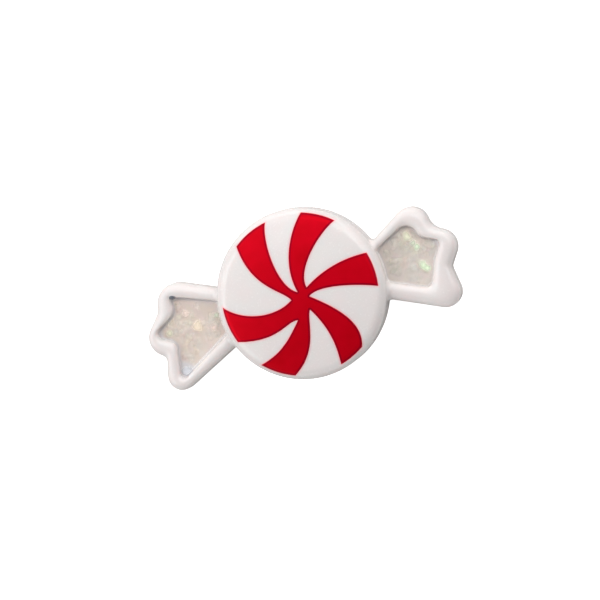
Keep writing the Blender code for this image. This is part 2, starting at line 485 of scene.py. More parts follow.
def cast_surface_group() -> bpy.types.NodeTree:
    """The group for the slightly uneven skin of a cast and lacquered piece.

    Returns:
        A group that turns a place on the piece into Waves, slow unevenness from 0 to 1, Grain, the fine
        texture of the lacquer from 0 to 1, and Relief, both together as a height from 0 to 1.
    """
    name = "cast_surface"
    if name in bpy.data.node_groups:
        return bpy.data.node_groups[name]
    group = bpy.data.node_groups.new(name, "ShaderNodeTree")
    face = group.interface
    face.new_socket("Place", in_out="INPUT", socket_type="NodeSocketVector")
    for label in ("Wave Size", "Grain Size", "Grain Share"):
        face.new_socket(label, in_out="INPUT", socket_type="NodeSocketFloat")
    for label in ("Waves", "Grain", "Relief"):
        face.new_socket(label, in_out="OUTPUT", socket_type="NodeSocketFloat")
    wiring = Wiring(group)
    inlet = wiring.node("NodeGroupInput").outputs
    made = {}
    for label, detail in (("Wave", 2.0), ("Grain", 3.0)):
        pitch = wiring.node("ShaderNodeMath", {0: 1 / MM, 1: inlet[f"{label} Size"]}, operation="DIVIDE")
        inputs = {"Detail": detail, "Vector": inlet["Place"], "Scale": pitch.outputs[0]}
        made[label] = wiring.node("ShaderNodeTexNoise", inputs).outputs["Fac"]
    inputs = {"Factor": inlet["Grain Share"], "A": made["Wave"], "B": made["Grain"]}
    both = wiring.node("ShaderNodeMix", inputs, data_type="FLOAT").outputs["Result"]
    wiring.node("NodeGroupOutput", {"Waves": made["Wave"], "Grain": made["Grain"], "Relief": both})
    return group


def blank_material(name: str) -> tuple[Material, Wiring, Node]:
    """Start a material.

    Args:
        name: its name.

    Returns:
        The material, its node tree and its shader.
    """
    material = bpy.data.materials.new(name)
    material.use_nodes = True
    return material, Wiring(material.node_tree), material.node_tree.nodes["Principled BSDF"]


@dataclass(frozen=True)
class CastSkin:
    """How uneven a finish is: sizes in millimetres, and the height of its relief."""

    wave: float
    grain: float
    grain_share: float
    depth: float

    def build(self, wiring: Wiring) -> tuple[Sockets, Socket]:
        """Put the group for a cast surface into a material, read at the piece's own coordinates.

        Args:
            wiring: the material's node tree.

        Returns:
            The group's outputs, and the normal that its relief gives.
        """
        sizes = {"Wave Size": self.wave, "Grain Size": self.grain, "Grain Share": self.grain_share}
        inputs = {"Place": wiring.place(), **sizes}
        surface = wiring.node("ShaderNodeGroup", inputs, node_tree=cast_surface_group()).outputs
        relief = {"Distance": self.depth * MM, "Height": surface["Relief"]}
        return surface, wiring.node("ShaderNodeBump", relief).outputs["Normal"]


@dataclass(frozen=True)
class Finish(ABC):
    """What the charm's finishes share: a name and a slightly uneven skin."""

    name: str
    skin: CastSkin

    @abstractmethod
    def inputs(self, wiring: Wiring, surface: Sockets) -> Inputs:
        """Wire up what is the finish's own.

        Args:
            wiring: the material's node tree.
            surface: outputs of the cast surface.

        Returns:
            The shader's inputs.
        """

    def material(self) -> Material:
        """Build the finish.

        Returns:
            The material.
        """
        material, wiring, shader = blank_material(self.name)
        surface, normal = self.skin.build(wiring)
        wiring.feed(shader, {"Normal": normal, **self.inputs(wiring, surface)})
        return material


@dataclass(frozen=True)
class WhiteLacquer(Finish):
    """Glossy white lacquer, faintly pink where it is thick, with a paler pink margin round the red swirl."""

    name: str = "white_lacquer_finish"
    skin: CastSkin = CastSkin(wave=2.6, grain=0.22, grain_share=0.12, depth=0.035)
    colour: Colour = (0.855, 0.815, 0.80)
    tinge: Colour = (0.865, 0.80, 0.79)
    margin: Colour = (0.985, 0.70, 0.71)
    cloud: Span = (0.35, 0.65)
    margin_end: Span = (0.1, 0.42)
    roughness: Span = (0.2, 0.32)
    coat: float = 0.25
    coat_roughness: float = 0.08
    depth_share: float = 0.4
    bleed: Colour = (1.0, 0.8, 0.75)

    def inputs(self, wiring: Wiring, surface: Sockets) -> Inputs:
        """Lay the margin over the lacquer.

        Args:
            wiring: the material's node tree.
            surface: outputs of the cast surface.

        Returns:
            The shader's inputs.
        """
        tint = wiring.ramp(surface["Waves"], self.cloud, (self.colour, self.tinge))
        past = wiring.stretch(wiring.attribute(MARGIN_ATTRIBUTE), before=self.margin_end)
        return {
            "Base Color": wiring.mix(past, self.margin, tint),
            "Roughness": wiring.stretch(surface["Grain"], after=self.roughness),
            "Coat Weight": self.coat,
            "Coat Roughness": self.coat_roughness,
            "Subsurface Weight": self.depth_share,
            "Subsurface Radius": self.bleed,
            "Subsurface Scale": MM,
        }


@dataclass(frozen=True)
class RedEnamel(Finish):
    """Deep glossy red. Its feathered edge is thin and pink, and just inside it runs a darker line."""

    name: str = "red_enamel_finish"
    skin: CastSkin = CastSkin(wave=3.2, grain=0.3, grain_share=0.15, depth=0.02)
    colour: Colour = (0.695, 0.0, 0.011)
    deep: Colour = (0.60, 0.0, 0.007)
    line: Colour = (0.32, 0.0, 0.014)
    feather: Colour = (0.88, 0.30, 0.32)
    sheen: Colour = (1.0, 0.25, 0.32)
    cloud: Span = (0.3, 0.7)
    border: tuple[float, ...] = (0.0, 0.14, 0.3, 0.48, 0.85)
    border_end: Span = (0.5, 0.9)
    roughness: Span = (0.34, 0.44)
    metal: float = 0.35
    gleam: float = 0.2

    def inputs(self, wiring: Wiring, surface: Sockets) -> Inputs:
        """Run the border's colours inwards from the edge.

        Args:
            wiring: the material's node tree.
            surface: outputs of the cast surface.

        Returns:
            The shader's inputs.
        """
        body = wiring.ramp(surface["Waves"], self.cloud, (self.colour, self.deep))
        reach = wiring.attribute(EDGE_ATTRIBUTE)
        tones = (self.feather, self.colour, self.line, self.line, self.colour)
        border = wiring.ramp(reach, self.border, tones)
        return {
            "Base Color": wiring.mix(wiring.stretch(reach, before=self.border_end), border, body),
            "Roughness": wiring.stretch(surface["Grain"], after=self.roughness),
            "Metallic": self.metal,
            "Specular IOR Level": self.gleam,
            "Specular Tint": self.sheen,
        }


@dataclass(frozen=True)
class ClearResin(Finish):
    """Clear casting resin that lets the lamps shine through, with a painted grey shade line beside its walls.
    """

    name: str = "clear_resin_finish"
    skin: CastSkin = CastSkin(wave=1.6, grain=0.4, grain_share=0.2, depth=0.03)
    tint: Colour = (0.985, 0.98, 0.965)
    painted_shade_colour: Colour = (0.55, 0.54, 0.57)
    veil: float = 0.06
    roughness: float = 0.03
    ior: float = 1.5

    def inputs(self, wiring: Wiring, surface: Sockets) -> Inputs:
        """Keep the resin whole for the camera and all but clear for the lamps.

        Args:
            wiring: the material's node tree.
            surface: outputs of the cast surface, not used here.

        Returns:
            The shader's inputs.
        """
        # The contact colour is painted shade: the rim's shadow and dark reflection where the resin meets the
        # wall.
        reach = wiring.attribute(EDGE_ATTRIBUTE)
        return {
            "Base Color": wiring.ramp(reach, (0.0, 1.0), (self.painted_shade_colour, self.tint)),
            "Alpha": wiring.stretch(wiring.ray("Is Camera Ray"), after=(self.veil, 1.0)),
            "Roughness": self.roughness,
            "Transmission Weight": 1.0,
            "IOR": self.ior,
        }


@dataclass(frozen=True)
class GlitterBedFinish(Finish):
    """Settled film glitter: a faint mottle of warm and cool greys, with the white floor bare in places."""

    name: str = "glitter_bed_finish"
    skin: CastSkin = CastSkin(wave=1.6, grain=0.6, grain_share=0.35, depth=0.035)
    warm: Colour = (0.81, 0.70, 0.62)
    pale: Colour = (0.85, 0.76, 0.70)
    cool: Colour = (0.75, 0.71, 0.67)
    rosy: Colour = (0.83, 0.68, 0.66)
    bare: Colour = (0.83, 0.815, 0.835)
    cloud: Triple = (0.3, 0.5, 0.7)
    mosaic: tuple[float, ...] = (0.0, 0.35, 0.7, 1.0)
    facet: float = 0.8
    roughness: Span = (0.4, 0.6)

    def inputs(self, wiring: Wiring, surface: Sockets) -> Inputs:
        """Blend a mosaic of chips with slow clouds, and leave the floor bare where no glitter lies.

        Args:
            wiring: the material's node tree.
            surface: outputs of the cast surface.

        Returns:
            The shader's inputs.
        """
        inputs = {"Scale": 1 / (self.facet * MM), "Vector": wiring.place()}
        chips = wiring.node("ShaderNodeTexVoronoi", inputs).outputs["Color"]
        draw = wiring.node("ShaderNodeSeparateColor", {"Color": chips}).outputs
        chip = wiring.ramp(draw["Red"], self.mosaic, (self.cool, self.warm, self.rosy, self.pale))
        cloud = wiring.ramp(surface["Waves"], self.cloud, (self.cool, self.warm, self.pale))
        glitter = wiring.mix(surface["Grain"], chip, cloud)
        return {
            "Base Color": wiring.mix(wiring.attribute(COVER_ATTRIBUTE), self.bare, glitter),
            "Roughness": wiring.stretch(draw["Green"], after=self.roughness),
        }


@dataclass(frozen=True)
class FilmFinish(Finish):
    """Thin pearly film coloured by each flake or bubble, painted highlight on the glints and painted shade
    and reflection on the bubbles, that hardly dims the lamps.
    """

    skin: CastSkin = CastSkin(wave=0.5, grain=0.12, grain_share=0.3, depth=0.02)
    roughness: float = 0.3
    cover: float = 1.0
    shade: float = 0.1

    def inputs(self, wiring: Wiring, surface: Sockets) -> Inputs:
        """Read the colour and the cover from the piece's points.

        Args:
            wiring: the material's node tree.
            surface: outputs of the cast surface, not used here.

        Returns:
            The shader's inputs.
        """
        tint = wiring.node("ShaderNodeAttribute", attribute_name=FLAKE_ATTRIBUTE).outputs
        cover = wiring.stretch(tint["Alpha"], after=(0.0, self.cover))
        lit = wiring.stretch(wiring.ray("Is Shadow Ray"), after=(1.0, self.shade))
        alpha = wiring.node("ShaderNodeMath", {0: cover, 1: lit}, operation="MULTIPLY").outputs[0]
        return {"Base Color": tint["Color"], "Alpha": alpha, "Roughness": self.roughness}


# ---- The round sweet ----


@dataclass(frozen=True)
class RoundSweet:
    """The domed disc in the middle, turned from one section."""

    radius: float = 9.95
    height: float = 5.2
    crown_radius: float = 8.6
    crown_drop: float = 0.65
    base_round: float = 0.25
    segments: int = 360
    crown_rings: int = 42
    edge_rings: int = 20
    wall_rings: int = 6
    base_rings: int = 5

    @property
    def crown_end(self) -> float:
        """Slope angle where the crown's parabola hands over to the rounded edge."""
        return math.atan(2 * self.crown_drop / self.crown_radius)

    @property
    def edge_round(self) -> float:
        """Width and height of the rounded edge."""
        return self.radius - self.crown_radius

    def crown_height(self, distance: Array) -> Array:
        """Height of the sweet's top at a distance from its middle.

        The crown is a parabola. Outside it the edge is a quarter of an ellipse that carries the parabola's
        slope on: its angle's sine grows evenly with the distance, and its height falls with the cosine.

        Args:
            distance: distances from the middle.

        Returns:
            Heights above the back.
        """
        start = self.crown_end
        crown = self.height - self.crown_drop * (distance / self.crown_radius) ** 2
        share = np.clip((distance - self.crown_radius) / self.edge_round, 0, 1)
        sine = math.sin(start) + share * (1 - math.sin(start))
        fall = 1 - np.sqrt(1 - sine**2) / math.cos(start)
        edge = self.height - self.crown_drop - self.edge_round * fall
        return np.where(distance < self.crown_radius, crown, edge)

    def section(self) -> Array:
        """Half section from beside the middle of the crown, over the wall, to the edge of the back.

        Returns:
            Distances from the axis and heights, as rows.
        """
        crown = self.crown_radius * np.linspace(0, 1, self.crown_rings + 1)[1:]
        angle = np.linspace(self.crown_end, math.pi / 2, self.edge_rings + 1)[1:]
        share = (np.sin(angle) - math.sin(self.crown_end)) / (1 - math.sin(self.crown_end))
        top = np.concatenate([crown, self.crown_radius + self.edge_round * share])
        top = np.column_stack([top, self.crown_height(top)])
        wall = np.linspace(top[-1, 1], self.base_round, self.wall_rings + 1)[1:]
        wall = np.column_stack([np.full(len(wall), self.radius), wall])
        turn = np.linspace(0, math.pi / 2, self.base_rings + 1)[1:]
        foot = np.column_stack([np.cos(turn) - 1, 1 - np.sin(turn)]) * self.base_round
        return np.vstack([top, wall, foot + [self.radius, 0]])

    def body(self) -> Piece:
        """Spin the section round the axis and close it at both ends.

        Returns:
            The disc as a closed shape.
        """
        section = self.section()
        around = headings(2 * math.pi * np.arange(self.segments) / self.segments)
        skin = Skin()
        rings = skin.add(with_height(section[:, None, :1] * around, section[:, 1:]))
        skin.quads(rings, closed=True)
        skin.fan(rings[0], (0, 0, self.height))
        skin.cap(rings[-1])
        return skin.piece("sweet_body", None)


# ---- The wrapper ends ----


@dataclass(frozen=True)
class Outline:
    """A scalloped outline of a wrapper end, and the points its two long sides run towards."""

    corners: tuple[Triple, ...]
    aims: tuple[Spot, Spot]
    outwards: bool
    fillet: float
    bite: float = 0.15
    root_share: float = 0.78

    def meeting(self, sweet: RoundSweet, which: int) -> Array:
        """Corners where a long side meets the sweet.

        The side's line is cut with a circle just inside the sweet's edge. From there a flare runs along the
        edge, away from the X axis for a rim and towards it for a pocket, and then straight in to the root.

        Args:
            sweet: the round sweet.
            which: 0 for the side towards +Y, -1 for the other.

        Returns:
            The root, the flare and the meeting corner, each as x, y and radius.
        """
        lobe = np.array(self.corners[which][:2])
        run = np.array(self.aims[which]) - lobe
        a, b = run @ run, lobe @ run
        c = lobe @ lobe - (sweet.radius - self.bite) ** 2
        corner = lobe + run * (-b - math.sqrt(b * b - a * c)) / a
        along = unit(np.array([-corner[1], corner[0]]))
        if (along[1] * corner[1] > 0) != self.outwards:
            along = -along
        flare = corner + along * (self.fillet + sweet.base_round)
        return np.array([[*flare * self.root_share, 0], [*flare, 0], [*corner, self.fillet]])

    def loop(self, sweet: RoundSweet) -> Array:
        """Corners of the closed outline, from the root on the +Y side round to the one on the -Y side."""
        return np.vstack([self.meeting(sweet, 0), self.corners, self.meeting(sweet, -1)[::-1]])


def bulged_quarter(bulge: float, count: int) -> Array:
    """A quarter of a superellipse of radius one, from (1, 0) to (0, 1).

    Its two coordinates, each raised to the bulge, add up to one.

    Args:
        bulge: 2 for a circle, more for a squarer shoulder.
        count: number of points.

    Returns:
        The two coordinates as rows.
    """
    circle = np.clip(headings(np.linspace(0, math.pi / 2, count)).T, 0, 1)
    return circle / (circle**bulge).sum(axis=0) ** (1 / bulge)


@dataclass
class WrapperEnd:
    """One flared end of the wrapper: a rounded rim round a pocket."""

    side: Side
    rim: Outline
    pocket: Outline
    sweet: RoundSweet
    shoulder: float = 1.9
    crest: float = 3.1
    crest_share: float = 0.6
    outer_bulge: float = 2.2
    outer_steps: int = 18
    inner_bulge: float = 2.4
    inner_steps: int = 22
    wall_steps: int = 6
    drop_steps: int = 5
    pocket_wall_top: float = 2.3
    pocket_floor: float = 1.1
    pocket_draft: float = 0.1
    eye_share: float = 0.48
    eye_y: float = 0.2
    count: int = 420
    softness: float = 0.1
    fillet_reach: float = 0.6
    fillet_rise: float = 0.3
    crowding: float = 1.6

    def __post_init__(self) -> None:
        """Match the rim's outline with the pocket's."""
        loops = (outline.loop(self.sweet) for outline in (self.rim, self.pocket))
        self.outer, self.inner = matched_loops(*loops, self.count, self.softness)

    @property
    def inwards(self) -> Array:
        """Directions of length one from the rim's outline to the pocket's."""
        return unit(self.inner - self.outer)

    def profile(self) -> Array:
        """Section of the rim, from the edge of the back over the crest to the pocket's floor.

        The foot is a quarter circle, the wall is straight, and the bead is two quarters of superellipses
        that meet at the crest. A step is a share of the way from the outline of the rim to that of the
        pocket, a shift in millimetres along that way, and a height.

        Returns:
            Share, shift and height, as rows.
        """
        base = self.sweet.base_round
        turn = np.linspace(0, math.pi / 2, self.wall_steps)
        wall = np.linspace(base, self.shoulder, self.wall_steps)[1:-1]
        over, up = bulged_quarter(self.outer_bulge, self.outer_steps)
        down, across = bulged_quarter(self.inner_bulge, self.inner_steps)[:, 1:]
        bead = self.crest_share + (1 - self.crest_share) * across
        steps = np.linspace(0, 1, self.drop_steps)[1:]
        drop = self.pocket_wall_top - self.pocket_floor
        parts = (
            (0, base * (1 - np.sin(turn)), base * (1 - np.cos(turn))),
            (0, 0, wall),
            (self.crest_share * (1 - over), 0, self.shoulder + (self.crest - self.shoulder) * up),
            (bead, 0, self.pocket_wall_top + (self.crest - self.pocket_wall_top) * down),
            (1, self.pocket_draft * steps, self.pocket_wall_top - drop * steps),
        )
        return np.vstack([np.column_stack(np.broadcast_arrays(*part)) for part in parts])

    def surface(self) -> Array:
        """The rim's surface over the step along the outline and the step across the section.

        A point lies at the section's share of the way between the outlines, plus its shift. Beside the
        sweet the bead's height climbs by a small parabola, which is the fillet against the sweet's wall.

        Returns:
            Points as steps across by steps along by three.
        """
        share, shift, height = (column[:, None, None] for column in self.profile().T)
        plane = self.outer + (self.inner - self.outer) * share + self.inwards * shift
        gap = np.linalg.norm(plane, axis=-1) - self.sweet.radius
        climb = self.fillet_rise * nearness(gap, self.fillet_reach) ** 2
        height = height[..., 0]
        weight = np.clip((height - self.shoulder) / (self.crest - self.shoulder), 0, 1)
        return with_height(plane, height + climb * weight)

    def body(self) -> Piece:
        """Close the rim's surface with the flat back and the pocket's floor.

        Returns:
            The end as a closed shape.
        """
        skin = Skin()
        rings = skin.add(self.surface())
        skin.quads(rings, closed=True)
        skin.cap(rings[0])
        skin.cap(rings[-1])
        return skin.piece(f"wrapper_body_{self.side.value}", None)

    def pocket_loop(self, reach: float) -> Array:
        """Outline of the pocket, moved into the rim, with its root brought out to the sweet's wall.

        Args:
            reach: distance by which it goes into the rim, or stays clear of it when it is negative.

        Returns:
            Points of the closed outline.
        """
        loop = self.inner - self.inwards * reach
        distance = np.linalg.norm(loop, axis=1, keepdims=True)
        return loop * np.maximum(1, (self.sweet.radius - reach) / distance)

    @property
    def middle(self) -> Array:
        """A point in the pocket from which all of its outline can be seen.

        Returns:
            Its x and y.
        """
        loop = self.pocket_loop(0.0)
        near, far = loop[:, 0].min(), loop[:, 0].max()
        if self.side is Side.LEFT:
            near, far = far, near
        return np.array([near + self.eye_share * (far - near), self.eye_y])

    def spread(self, reach: float, rings: int) -> tuple[Array, Array]:
        """Points that fill the pocket on rings shrunk towards its middle, closer near the outline.

        Args:
            reach: distance by which the outermost ring goes into the rim.
            rings: number of rings.

        Returns:
            Points as rings by steps along by two, and the outermost ring.
        """
        loop = self.pocket_loop(reach)
        share = (1 - np.arange(rings) / rings) ** self.crowding
        return self.middle + share[:, None, None] * (loop - self.middle), loop


# ---- The swirl ----


@dataclass(frozen=True)
class Blade:
    """A blade of the swirl: its reach, the angles of its end, and the guides of its two curved sides."""

    reach: float
    end: Span
    before: tuple[Spot, Spot]
    after: tuple[Spot, Spot]

    def sides(self, valleys: tuple[Array, Array], share: Array) -> Array:
        """Both sides of the blade as cubic curves from the valleys to the corners of its end.

        Args:
            valleys: the tips of the white wedges before and after the blade.
            share: shares of the way out.

        Returns:
            Points as two sides by shares by two.
        """
        guides = np.array([self.before, self.after])
        start, first, second = np.array(valleys)[:, None], guides[:, :1], guides[:, 1:]
        last = self.reach * headings(np.radians(self.end))[:, None]
        t = share[None, :, None]
        near = (1 - t) ** 3 * start + 3 * t * (1 - t) ** 2 * first
        return near + 3 * t**2 * (1 - t) * second + t**3 * last


@dataclass
class Swirl:
    """The red swirl, a thin coat of enamel that stands a hair above the white."""

    sweet: RoundSweet
    valleys: tuple[Spot, ...]
    blades: tuple[Blade, ...]
    finish: RedEnamel = RedEnamel()
    rise: float = 0.035
    sink: float = 0.04
    lip: float = 0.13
    border: float = 0.42
    thickness: float = 0.35
    steps_out: int = 72
    steps_across: int = 44
    hub_steps: int = 10
    end_pull: int = 6

    def sector(self, index: int) -> tuple[Array, Array]:
        """One blade and its share of the hub, over the step out and the step across.

        The hub part runs straight from the swirl's middle to the chord between two valleys. The blade part
        runs between the two sides, and is stretched outwards so that its end lies on the reach's circle.
        Steps crowd together at both sides and at the end, where the coat rounds off.

        Args:
            index: the blade's number.

        Returns:
            Points as steps out by steps across by two, and the blade's own outline.
        """
        blade = self.blades[index]
        spots = np.array(self.valleys)
        ends = (spots[index], spots[(index + 1) % len(spots)])
        across = (1 - np.cos(math.pi * np.arange(self.steps_across + 1) / self.steps_across)) / 2
        out = np.sin(math.pi / 2 * np.arange(self.steps_out + 1) / self.steps_out)
        first, second = blade.sides(ends, out)
        sheet = first[:, None] + (second - first)[:, None] * across[None, :, None]
        shortfall = blade.reach / np.linalg.norm(sheet[-1], axis=-1)
        sheet = sheet * (1 + (shortfall - 1)[None, :] * (out**self.end_pull)[:, None])[..., None]
        inner = np.arange(self.hub_steps)[:, None, None] / self.hub_steps
        middle = spots.mean(axis=0)
        hub = middle + inner * (sheet[0] - middle)
        outline = np.vstack([sheet[:, 0], sheet[-1, 1:], sheet[-2:0:-1, -1]])
        return np.vstack([hub, sheet]), outline

    @property
    def outline(self) -> Array:
        """The swirl's closed outline, blade after blade."""
        return np.vstack([self.sector(index)[1] for index in range(len(self.blades))])

    def build(self) -> Piece:
        """Lay the swirl on the crown and close it underneath.

        Over the last stretch before its outline the coat falls by a quarter circle into the white.

        Returns:
            The swirl.
        """
        outline = self.outline
        skin = Skin()
        for index in range(len(self.blades)):
            plane = self.sector(index)[0]
            fall = nearness(distance_to_loop(plane, outline), self.lip)
            coat = (self.rise + self.sink) * np.sqrt(1 - fall**2) - self.sink
            crown = self.sweet.crown_height(np.linalg.norm(plane, axis=-1))
            top = skin.add(with_height(plane, crown + coat))
            bottom = skin.add(with_height(plane, crown - self.thickness))
            skin.quads(top, closed=False)
            skin.quads(bottom[::-1], closed=False)
            rows = slice(self.hub_steps, None)
            for edge in ((rows, 0), (-1, slice(None)), (rows, -1)):
                skin.quads(np.stack([top[edge], bottom[edge]]), closed=False)
        piece = skin.piece("enamel_swirl", self.finish.material())
        share = distance_to_loop(places_of(piece)[:, :2], outline) / self.border
        store(piece, EDGE_ATTRIBUTE, np.clip(share, 0, 1))
        return mounted(piece, "swirl")


# ---- The casting ----


@dataclass
class Casting:
    """The white casting: the sweet and both wrapper ends as one solid."""

    sweet: RoundSweet
    ends: tuple[WrapperEnd, WrapperEnd]
    swirl: Swirl
    finish: WhiteLacquer = WhiteLacquer()
    margin_reach: float = 0.6

    def build(self) -> Piece:
        """Fuse the sweet and the wrapper ends and give them the lacquer.

        On the crown each point gets its distance past the swirl's outline, as a share of a reach.

        Returns:
            The casting.
        """
        cast = self.sweet.body()
        cast.name = "cast_body"
        for end in self.ends:
            fuse(cast, end.body())
        shade(cast.data)
        cast.data.materials.clear()
        cast.data.materials.append(self.finish.material())
        place = places_of(cast)
        over_sweet = np.linalg.norm(place[:, :2], axis=1) < self.sweet.radius
        crown = (place[:, 2] > self.sweet.height / 2) & over_sweet
        past = np.ones(len(place))
        depth = depth_in_loop(place[crown, :2], self.swirl.outline)
        past[crown] = np.clip(depth / self.margin_reach, -1, 1)
        store(cast, MARGIN_ATTRIBUTE, past)
        return mounted(cast, "casting")


# ---- What fills the pockets ----


@dataclass(frozen=True)
class BareSpot:
    """A round spot of a pocket's floor that no glitter has reached."""

    x: float
    y: float
    radius: float
    fringe: float = 0.5

    def cover(self, plane: Array) -> Array:
        """Share of glitter at points of the plane, from 0 inside the spot to 1 past its fringe."""
        distance = np.linalg.norm(plane - np.array([self.x, self.y]), axis=-1)
        return np.clip((distance - self.radius) / self.fringe + 0.5, 0, 1)


@dataclass
class PocketFill:
    """The resin in one pocket and the glitter that has settled in it."""

    end: WrapperEnd
    spots: tuple[BareSpot, ...]
    resin: ClearResin = ClearResin()
    bed: GlitterBedFinish = GlitterBedFinish()
    level: float = 2.45
    wall_reach: float = 0.08
    floor_reach: float = 0.03
    meniscus: float = 0.16
    meniscus_reach: float = 0.5
    # The contact line is painted shade on the resin beside the walls that stand between it and the lamps.
    painted_shade_width: float = 0.34
    painted_shade_heading: float = 117.0
    painted_shade_share: Span = (0.5, 0.6)
    painted_shade_clearance: float = 0.2
    bed_level: float = 2.0
    bed_reach: float = 0.05
    bed_fall: float = 0.1
    bed_slope: float = 0.5
    bed_relief: float = 0.03
    bed_waves: int = 9
    wave_numbers: Span = (2.0, 5.0)
    bare_strip: Span = (0.1, 0.5)
    rings: int = 40

    def solid(self, name: str, plane: Array, height: Array, material: Material) -> Piece:
        """Close a top surface with its middle, with a wall down into the pocket's floor and an underside.

        Args:
            name: name of the piece.
            plane: rings of the top, from the outline inwards.
            height: their heights.
            material: finish of the piece.

        Returns:
            The new piece.
        """
        skin = Skin()
        top = skin.add(with_height(plane, height))
        skin.quads(top, closed=True)
        skin.fan(top[-1], (*self.end.middle, height[-1].mean()))
        foot = skin.add(with_height(plane[0], self.end.pocket_floor - self.floor_reach))
        skin.quads(np.stack([top[0], foot]), closed=True)
        skin.cap(foot)
        return skin.piece(f"{name}_{self.end.side.value}", material)

    def build_resin(self) -> Piece:
        """Fill the pocket with resin that creeps up its walls.

        The top is level in the middle and climbs by a parabola over the last stretch before the walls. The
        outline lies just inside the rim, and the underside just inside the pocket's floor.

        Returns:
            The resin.
        """
        plane, loop = self.end.spread(self.wall_reach, self.rings)
        climb = self.meniscus * nearness(distance_to_loop(plane, loop), self.meniscus_reach) ** 2
        piece = self.solid("resin_fill", plane, self.level + climb, self.resin.material())
        # The resin's edge value carries the painted shade line beside its walls.
        store(piece, EDGE_ATTRIBUTE, self.painted_shade_reach(places_of(piece)[:, :2], loop))
        return mounted(piece, f"resin_{self.end.side.value}")

    def painted_shade_reach(self, plane: Array, loop: Array) -> Array:
        """How clear the resin is of the painted shade line beside its wall, from 0 on a full line to 1 past
        it.

        The line is painted shade, strongest beside the walls that stand between the resin and the lamps. Its
        strength is a constant and a cosine of the angle between the wall's outward direction and the lamps'
        heading, and it fades out where the wall is the round sweet's own.

        Args:
            plane: points as rows of x and y.
            loop: outline of the resin.

        Returns:
            One value for each point.
        """
        distance, step = nearest_on_loop(plane, loop)
        run = unit(np.roll(loop, -2, axis=0) - np.roll(loop, 1, axis=0))
        outwards = np.column_stack([run[:, 1], -run[:, 0]])
        outwards *= np.sign((outwards * (loop - self.end.middle)).sum())
        facing = (outwards @ headings(math.radians(self.painted_shade_heading)))[step]
        from_sweet = np.linalg.norm(plane, axis=1) - self.end.sweet.radius
        strength = np.clip(self.painted_shade_share[0] + self.painted_shade_share[1] * facing, 0, 1)
        strength *= np.clip(from_sweet - self.painted_shade_clearance, 0, 1)
        return 1 - strength * nearness(distance, self.painted_shade_width)

    def build_bed(self, random: Draws) -> Piece:
        """Lay the glitter that the resin shows as a ground, from the pocket's floor up to just under its top.

        Its top is a sum of a few waves with drawn directions and phases, and falls off towards the walls.

        Args:
            random: the source of the draws.

        Returns:
            The bed of glitter.
        """
        plane, loop = self.end.spread(self.bed_reach, self.rings)
        wave = random.uniform(*self.wave_numbers, self.bed_waves)
        turn, phase = random.uniform(0, 2 * math.pi, (2, self.bed_waves))
        relief = np.sin(plane @ (headings(turn).T * wave) + phase).mean(axis=-1)
        fall = self.bed_fall * nearness(distance_to_loop(plane, loop), self.bed_slope) ** 2
        height = self.bed_level - fall + self.bed_relief * relief
        piece = self.solid("glitter_bed", plane, height, self.bed.material())
        store(piece, COVER_ATTRIBUTE, self.cover(places_of(piece)[:, :2], loop))
        return mounted(piece)

    def cover(self, plane: Array, loop: Array) -> Array:
        """Share of glitter at points of the pocket's floor.

        It falls to nothing in the bare spots, and over a narrow strip beside the walls.

        Args:
            plane: points as x and y along the last axis.
            loop: outline of the floor.

        Returns:
            Shares in the shape of the points.
        """
        near, far = self.bare_strip
        cover = np.clip((distance_to_loop(plane, loop) - near) / (far - near), 0, 1)
        for spot in self.spots:
            cover = cover * spot.cover(plane)
        return cover


@dataclass(frozen=True)
class PaintedGlint:
    """A film flake painted bright where a glint lies: its place, size and painted highlight colour."""

    x: float
    y: float
    size: float
    tint: Colour


@dataclass(frozen=True)
class Bubble:
    """A flattened bubble at the resin's edge: its middle, its half lengths and its painted colour, which
    stands in for the shade and reflection it shows.
    """

    middle: Triple
    half: Triple
    tint: Colour


